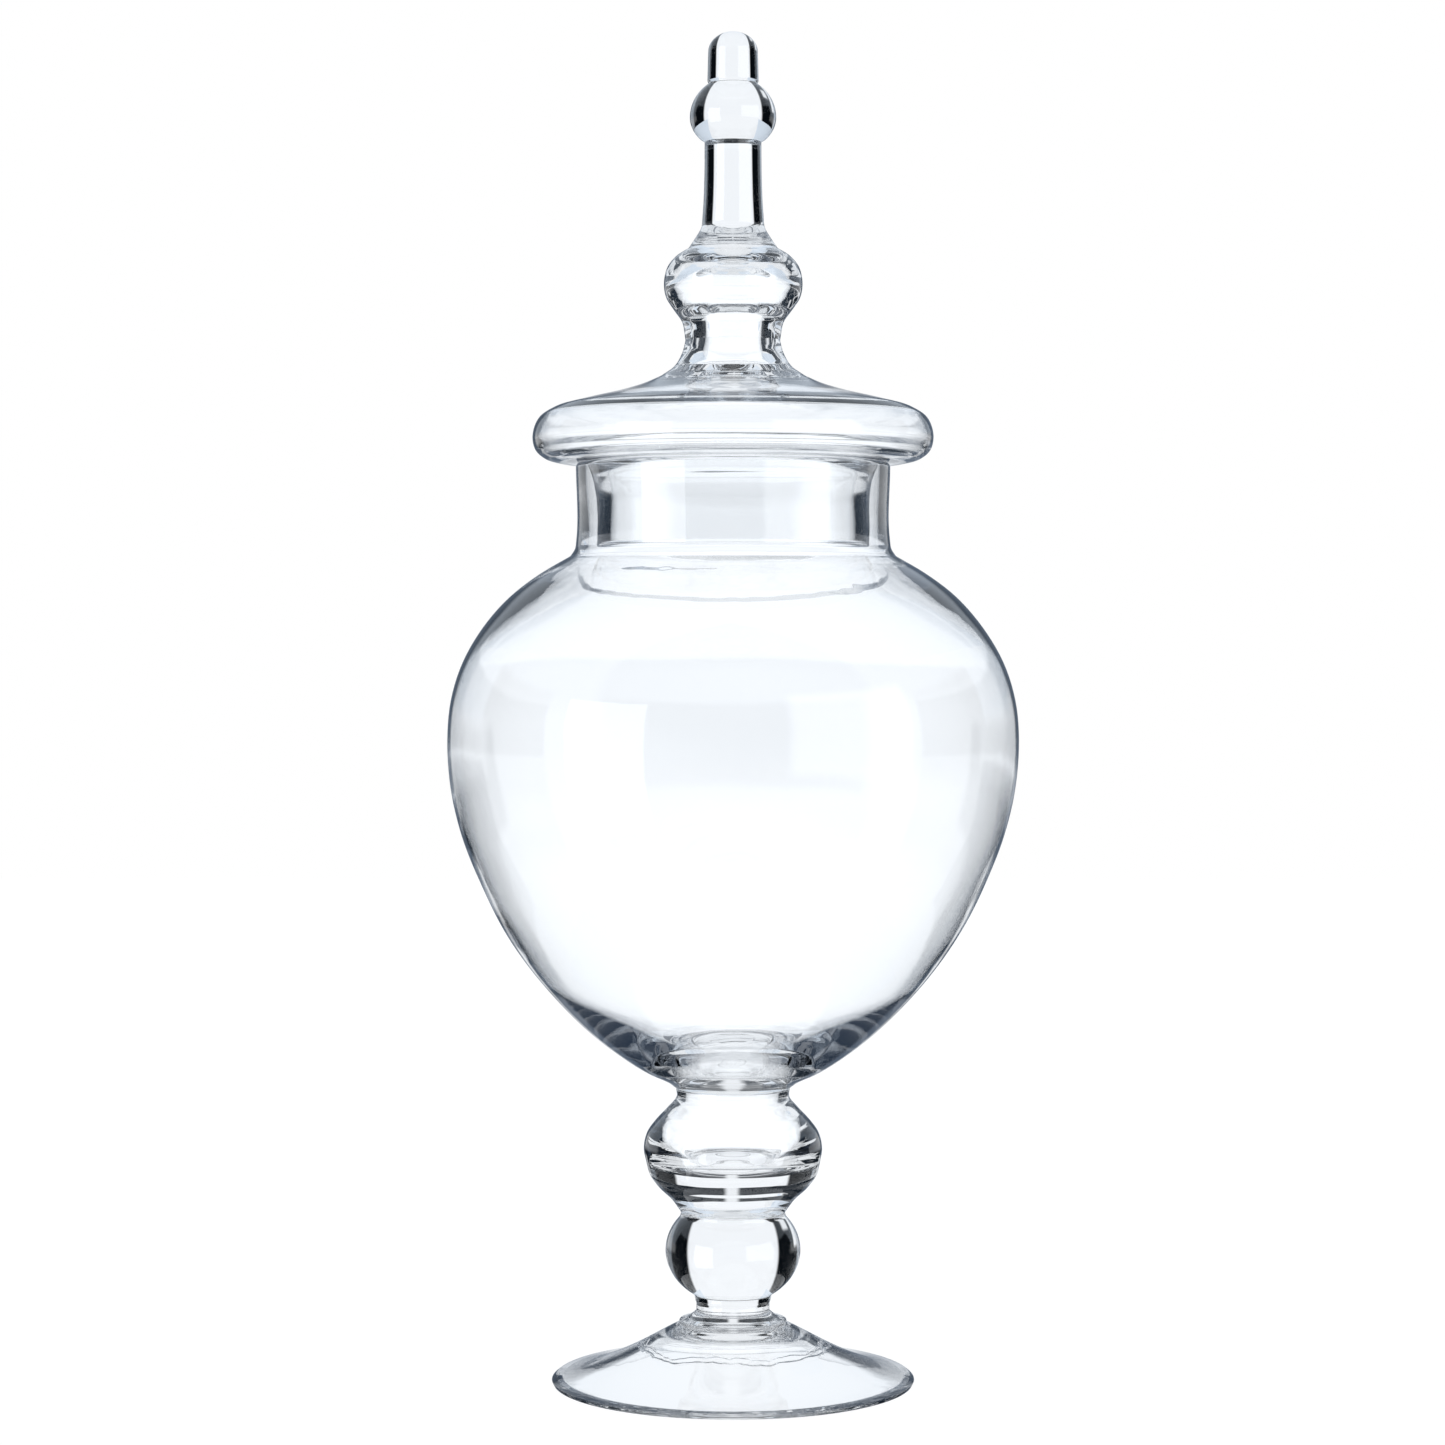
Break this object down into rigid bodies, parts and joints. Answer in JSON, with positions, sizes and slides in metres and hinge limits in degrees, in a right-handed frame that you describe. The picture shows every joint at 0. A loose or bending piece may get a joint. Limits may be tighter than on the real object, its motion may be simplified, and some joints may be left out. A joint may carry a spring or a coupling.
{
  "type": "apothecary jar",
  "caption": "Footed clear-glass apothecary jar: balloon bowl with a straight neck on a knopped stem, and a lift-off domed lid with a hollow knob and a tall finial.",
  "frame": {"origin": "centre of the jar's axis on the plane that the foot stands on", "axes": "+Z is the jar's axis of revolution, up towards the finial; X and Y are alike"},
  "size_m": [0.2146, 0.2146, 0.508],
  "materials": {
    "blown_glass": "clear hand-blown soda-lime glass, fire-polished, with faint ripples and seeds",
    "solid_glass": "clear solid glass gathers, fire-polished",
    "lid_glass": "clear hand-blown soda-lime glass, fire-polished, with marks where the knob is joined on",
    "finial_glass": "clear solid glass gathers, fire-polished"
  },
  "bodies": {
    "jar": {"foot": "blown_glass", "foot_collar": "solid_glass", "stem_neck": "solid_glass", "stem_ball": "solid_glass", "hollow_knop": "blown_glass", "bowl": "blown_glass", "neck": "blown_glass"},
    "lid": {"lid_dome": "lid_glass", "lid_waist": "lid_glass", "lid_knob": "lid_glass", "finial_stem": "finial_glass", "finial_ball": "finial_glass", "finial_tip": "finial_glass"}
  },
  "joints": [
    {"name": "lid_lift", "type": "slide", "parent": "jar", "child": "lid", "axis": [0, 0, 1], "range_m": [0, 0.12]}
  ]
}
